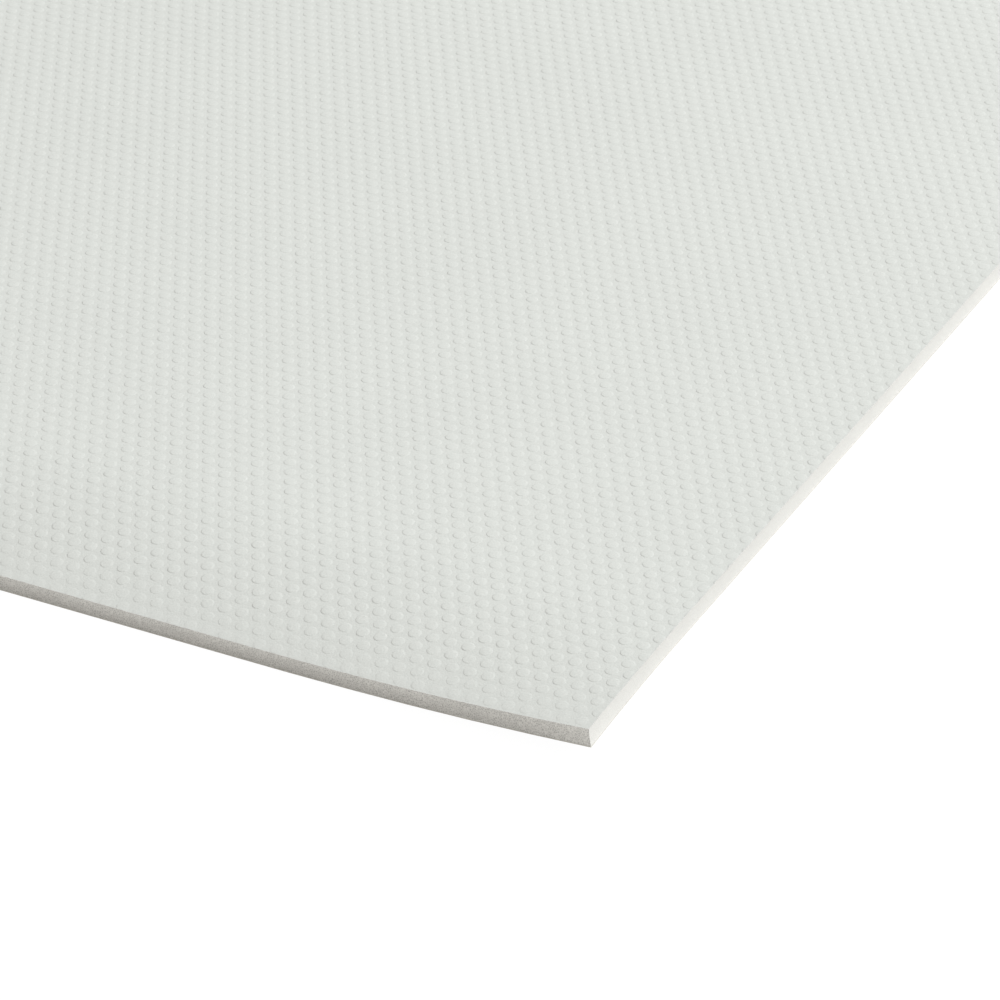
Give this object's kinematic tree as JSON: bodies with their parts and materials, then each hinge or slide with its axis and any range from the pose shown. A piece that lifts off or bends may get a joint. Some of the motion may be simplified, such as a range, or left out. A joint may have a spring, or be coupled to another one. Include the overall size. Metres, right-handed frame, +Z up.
{
  "type": "anti-slip foam tread sheet",
  "caption": "Thin light grey closed-cell foam sheet with raised round dots on top and a peel-off liner over its adhesive back, for diving boards, pool steps and decks.",
  "frame": {"origin": "centre of the sheet's underside, on the surface that it lies on", "axes": "+X along the long side, +Y across the sheet, +Z up, out of the dotted face"},
  "size_m": [0.965, 0.457, 0.0052],
  "materials": {
    "foam": "matt closed-cell foam with a finely pebbled skin and open cells on its cut edges",
    "adhesive": "tacky, slightly yellow, clear acrylic",
    "liner": "satin coated paper"
  },
  "bodies": {
    "liner": {"release_liner": "liner"},
    "pad": {"foam_sheet": "foam", "adhesive_film": "adhesive"}
  },
  "joints": [
    {"name": "liner_release", "type": "slide", "parent": "liner", "child": "pad", "axis": [0, 0, 1], "range_m": [0, 0.06]}
  ]
}
